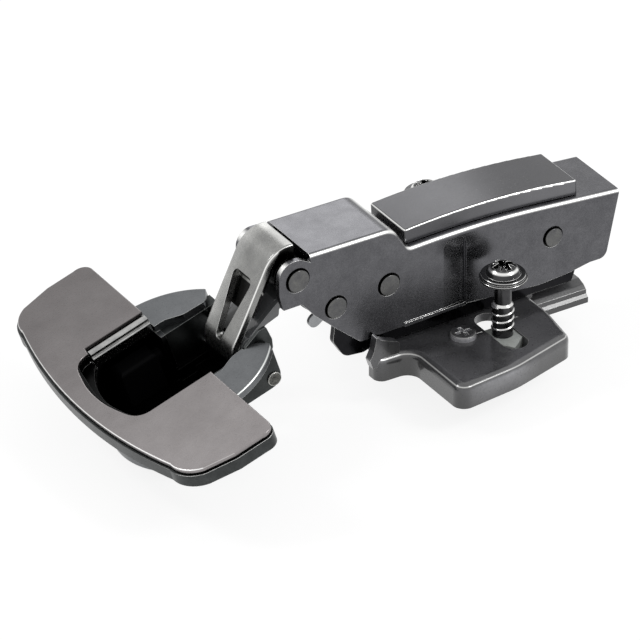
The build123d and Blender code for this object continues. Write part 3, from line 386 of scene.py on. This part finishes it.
# Black nickel over pressed channel: the sheet's fine speckle, a near-white painted highlight on
# bends.
arm_plate = plated_steel(
    "black_nickel_pressed_steel", "#57575a", "#67676a", "#f6f6f4", roughness=0.26,
    grain_mm=0.35, cloud_mm=4.0, relief=0.3, speckle=0.14,
    axis=OUTWARD, highlight_start=0.35, towards=OUTWARD, both=True,
)
# Smooth dark plate of the pressed cap, with a painted highlight along its top edges and painted
# light on its sides and rear.
cap_plate = plated_steel(
    "smooth_black_nickel_cap", "#48484a", "#4e4e50", "#f0f0ee", roughness=0.24,
    grain_mm=0.4, cloud_mm=12.0, relief=0.05, speckle=0.03,
    axis=OUTWARD, highlight_start=0.4, painted_light=painted_cap_light,
)
# Glossy black lacquer on the die-cast cross plate: deep grey faces under a clear shine, a painted
# highlight line along the rounded top edge, and painted light and shade on its sides and horn.
cross_plate = plated_steel(
    "glossy_black_die_cast_plate", "#3a3a3c", "#525254", "#dcdcda", roughness=0.30,
    grain_mm=0.5, cloud_mm=6.0, relief=0.15, speckle=0.10,
    axis=OUTWARD, highlight_start=0.95, lacquer=True, painted_light=painted_plate_light_and_shade,
)
# Black oxide on the adapter: nearly black, with a painted highlight line round its edges.
adapter_finish = plated_steel(
    "glossy_black_oxide_steel", "#1c1c1e", "#262628", "#c0c0be", roughness=0.18,
    grain_mm=0.5, cloud_mm=6.0, relief=0.1, speckle=0.05, round_mm=0.2,
)
# Black-oxide screws: dark and mirror-like, with white painted highlights at the edges.
screw_finish = plated_steel(
    "black_oxide_screw_steel", "#3a3a3b", "#4a4a4b", "#ececea", roughness=0.20,
    grain_mm=0.3, cloud_mm=3.0, relief=0.1, speckle=0.05, round_mm=0.16,
    axis=OUTWARD, highlight_start=0.9,
)
# Drawn pins: grey ends burnished by riveting, with painted shade blackening the sides that ring
# them.
pin_finish = plated_steel(
    "burnished_pin_steel", "#58585a", "#6c6c6a", "#a8a8a6", roughness=0.24,
    grain_mm=0.3, cloud_mm=1.5, relief=0.3, speckle=0.12, painted_light=painted_pin_shade,
)
# Bare ground steel of the ear rivets: blotchy and coarsely speckled, with a painted highlight ring
# round its edge.
rivet_finish = plated_steel(
    "ground_rivet_steel", "#3c3c3a", "#6c6c68", "#d8d8d4", roughness=0.28,
    grain_mm=0.25, cloud_mm=0.9, relief=0.5, speckle=0.4, round_mm=0.4,
)
# Deep-drawn cup steel: cool grey, with a painted highlight along its rim and painted shade deep
# inside.
cup_finish = plated_steel(
    "drawn_cup_steel", "#66686a", "#727476", "#d8dad8", roughness=0.32,
    grain_mm=0.35, cloud_mm=6.0, relief=0.2, speckle=0.08,
    axis=CUP_AXIS, highlight_start=0.6, painted_light=painted_cup_shade,
)
# Bent link steel of the same bath, under a clear sealer: a plain cool grey.
link_finish = plated_steel(
    "plated_link_steel", "#626466", "#707274", "#c0c2c0", roughness=0.32,
    grain_mm=0.35, cloud_mm=6.0, relief=0.2, speckle=0.08, lacquer=True,
)
# Turned edge of the far rail: shiny, its pale tone a painted highlight, with painted shade as dark
# lines along its edges.
rail_finish = plated_steel(
    "rail_steel_painted_highlight_and_shade", "#909090", "#c0c0be", "#101010", roughness=0.20,
    grain_mm=0.3, cloud_mm=3.0, relief=0.1, speckle=0.04, round_mm=0.2,
)
# Bent steel of the ears, darker than the cup's: dull, with soft grey painted highlights at its
# edges.
dark_cup_finish = plated_steel(
    "darker_cup_steel", "#343636", "#444646", "#8c8e8e", roughness=0.32,
    grain_mm=0.35, cloud_mm=3.0, relief=0.3, speckle=0.12,
)
# The same steel on the wing's lower body, with a white painted highlight along its ends and
# painted shade inside its opening.
body_finish = plated_steel(
    "plated_wing_body_steel", "#3a3c3c", "#4a4c4c", "#f0f0ee", roughness=0.32,
    grain_mm=0.35, cloud_mm=3.0, relief=0.3, speckle=0.12, round_mm=0.16,
    towards=ACROSS, both=True, painted_light=painted_mouth_shade,
)
# Bare zinc sleeves: pale, dull and a little mottled.
sleeve_finish = plated_steel(
    "dull_die_cast_zinc", "#a8aca8", "#c8ccc8", "#e0e4e0", roughness=0.45,
    grain_mm=0.3, cloud_mm=1.5, relief=0.5, speckle=0.12, lacquer=True,
)
# Drawn spring steel of the leg: even light grey with a faint sheen.
spring_finish = plated_steel(
    "drawn_spring_steel", "#8c8e90", "#9c9ea0", "#c0c0c0", roughness=0.30,
    grain_mm=0.2, cloud_mm=1.0, relief=0.2, speckle=0.05,
)
# Black acetal of the pegs and the damper: reads as shadow, with hardly any shine.
acetal = moulded_black("black_moulded_acetal", "#060607", grain_mm=0.3)

FINISHES = {
    "wing_cover": wing_plate,
    "wing_body": body_finish,
    "mouth_rail_near": dark_cup_finish,
    "mouth_rail_far": rail_finish,
    "wing_peg_near": acetal,
    "wing_peg_far": acetal,
    "cup_pot": cup_finish,
    "pivot_ear_near": dark_cup_finish,
    "pivot_ear_far": dark_cup_finish,
    "ear_rivet_near": rivet_finish,
    "ear_rivet_far": rivet_finish,
    "cup_pin": screw_finish,
    "damper_body": acetal,
    "damper_plunger": acetal,
    "strap_link": strap_plate,
    "inner_link": link_finish,
    "link_end_pin": screw_finish,
    "arm": arm_plate,
    "strap_pin": pin_finish,
    "link_pin": pin_finish,
    "adapter_pin": pin_finish,
    "latch_pin": pin_finish,
    "spring_leg": spring_finish,
    "cover_cap": cap_plate,
    "overlay_screw": screw_finish,
    "depth_cam": screw_finish,
    "release_latch": dark_cup_finish,
    "clip_adapter": adapter_finish,
    "mounting_plate": cross_plate,
    "height_cam": cross_plate,
    "slider_near": sleeve_finish,
    "slider_far": sleeve_finish,
    "fixing_screw_near": screw_finish,
    "fixing_screw_far": screw_finish,
}


def finish_nodes():
    """Gives every CAD node its finish."""
    for name, material in FINISHES.items():
        mesh = frame["nodes"][name].data
        mesh.materials.clear()
        mesh.materials.append(material)


# ---------------------------------------------------------------- pieces
SHARP = math.radians(32)    # edges that turn more than this stay sharp in a smooth piece


def link_mesh(shape, name, materials):
    """Object of a finished bmesh, smooth but for its sharp edges."""
    mesh = bpy.data.meshes.new(name)
    shape.to_mesh(mesh)
    shape.free()
    for material in materials:
        mesh.materials.append(material)
    mesh.shade_smooth()
    mesh.set_sharp_from_angle(angle=SHARP)
    piece = bpy.data.objects.new(name, mesh)
    bpy.context.scene.collection.objects.link(piece)
    return piece


THREAD_PITCH = 1.56
THREAD_ROOT = 1.9           # radius, just inside the shaft
THREAD_CREST = 2.22         # radius
ROOT_HALF = 0.35            # half the ridge's width at the shaft
CREST_HALF = 0.08           # half its width at the top
THREAD_STEPS = 24           # pieces in one turn


def screw_thread(name, screw, place, low, high):
    """Raised helical ridge on the shaft of a fixing screw between two heights, all in mm."""
    turns = (high - low) / THREAD_PITCH
    shape = bmesh.new()
    profile = [
        shape.verts.new(Vector((place[0] + reach, place[1], low + rise)) * MM)
        for reach, rise in (
            (THREAD_ROOT, -ROOT_HALF),
            (THREAD_CREST, -CREST_HALF),
            (THREAD_CREST, CREST_HALF),
            (THREAD_ROOT, ROOT_HALF),
        )
    ]
    ring = [shape.edges.new((profile[i - 1], profile[i])) for i in range(len(profile))]
    bmesh.ops.spin(
        shape,
        geom=profile + ring,
        cent=Vector((place[0], place[1], 0)) * MM,
        axis=OUTWARD,
        dvec=(0, 0, THREAD_PITCH / THREAD_STEPS * MM),
        angle=turns * math.tau,
        steps=round(turns * THREAD_STEPS),
        use_merge=False,
    )
    open_edges = [edge for edge in shape.edges if edge.is_boundary]
    bmesh.ops.holes_fill(shape, edges=open_edges, sides=len(profile))
    bmesh.ops.recalc_face_normals(shape, faces=shape.faces)
    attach(link_mesh(shape, name, (screw_finish,)), BODY[screw])


# ---------------------------------------------------------------- floor and light
FLOOR_HALF = 6              # metres
FLOOR_GAP = 0.3 * MM        # below the lowest point
PAPER_GLOW = 0.86           # with the paper's own shade this comes to white
ROOM_LIGHT = 0.5            # the world's strength for soft light


def split_by_ray(tree, soft, seen, output):
    """Sends one shader to soft light and another to the camera, mirrors and glass."""
    ray = add(tree, "LightPath").outputs
    first = add(tree, "Math", (ray["Is Camera Ray"], ray["Is Glossy Ray"]), operation="MAXIMUM")
    shown = add(tree, "Math", (first, ray["Is Transmission Ray"]), operation="MAXIMUM")
    add(tree, output, {"Surface": add(tree, "MixShader", (shown, soft, seen))})


def make_floor():
    """Plain white floor; the camera and mirrors see it white, with a soft shadow."""
    low = min(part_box(name)[0].z for name in frame["nodes"])
    shape = bmesh.new()
    bmesh.ops.create_grid(shape, x_segments=1, y_segments=1, size=FLOOR_HALF)
    bmesh.ops.translate(shape, verts=shape.verts, vec=(0, 0, low - FLOOR_GAP))
    material, tree, _ = new_material("white_paper")
    tree.nodes.clear()
    paper = add(tree, "BsdfDiffuse", {"Color": colour("#808080")})
    glow = add(tree, "Emission", {"Color": colour("#ffffff"), "Strength": PAPER_GLOW})
    dull = add(tree, "BsdfDiffuse", {"Color": colour("#b0b0b0")})
    split_by_ray(tree, dull, add(tree, "AddShader", (paper, glow)), "OutputMaterial")
    link_mesh(shape, "floor", (material,))


def soft_box(name, target, towards, distance, width, height, radiance):
    """Soft lamp that faces a target from a direction, radiance times as bright as white paper."""
    data = bpy.data.lights.new(name, "AREA")
    data.shape = "RECTANGLE"
    data.size = width
    data.size_y = height
    data.energy = radiance * math.pi * width * height
    lamp = bpy.data.objects.new(name, data)
    bpy.context.scene.collection.objects.link(lamp)
    aim = Vector(towards).normalized()
    turn = aim.to_track_quat("Z", "Y").to_matrix().to_4x4()
    lamp.matrix_world = Matrix.Translation(Vector(target) * MM + aim * distance) @ turn


def make_light():
    """White room, soft lamps for the broad sheen and for the bright lines along the edges."""
    world = bpy.data.worlds.new("studio")
    bpy.context.scene.world = world
    world.use_nodes = True
    tree = world.node_tree
    tree.nodes.clear()
    seen = add(tree, "Background", {"Color": colour("#ffffff"), "Strength": 1.0})
    around = add(tree, "Background", {"Color": colour("#ffffff"), "Strength": ROOM_LIGHT})
    split_by_ray(tree, around, seen, "OutputWorld")
    # lies over the nose of the arm in the level faces, and fades along it
    soft_box(
        "top_box", target=(-45, 0, 30), towards=(0.449, 0.727, 0.519),
        distance=0.32, width=0.11, height=0.10, radiance=2.2,
    )
    # draws the bright line along every top edge that faces the front
    soft_box(
        "edge_box", target=(0, 0, 15), towards=(0.449, -0.519, 0.727),
        distance=1.0, width=0.30, height=0.30, radiance=8.0,
    )
    # draws the bright line along the wing's front edge
    soft_box(
        "wing_box", target=(-70, 0, 10), towards=(-0.53, 0.40, 0.74),
        distance=1.0, width=0.25, height=0.25, radiance=10.0,
    )


finish_nodes()
screw_thread("thread_near", "fixing_screw_near", place=(0.0, -14.15), low=5.4, high=11.0)
screw_thread("thread_far", "fixing_screw_far", place=(0.0, 12.7), low=5.8, high=15.3)
make_floor()
make_light()
make_camera()
bpy.context.scene.view_settings.view_transform = "Standard"
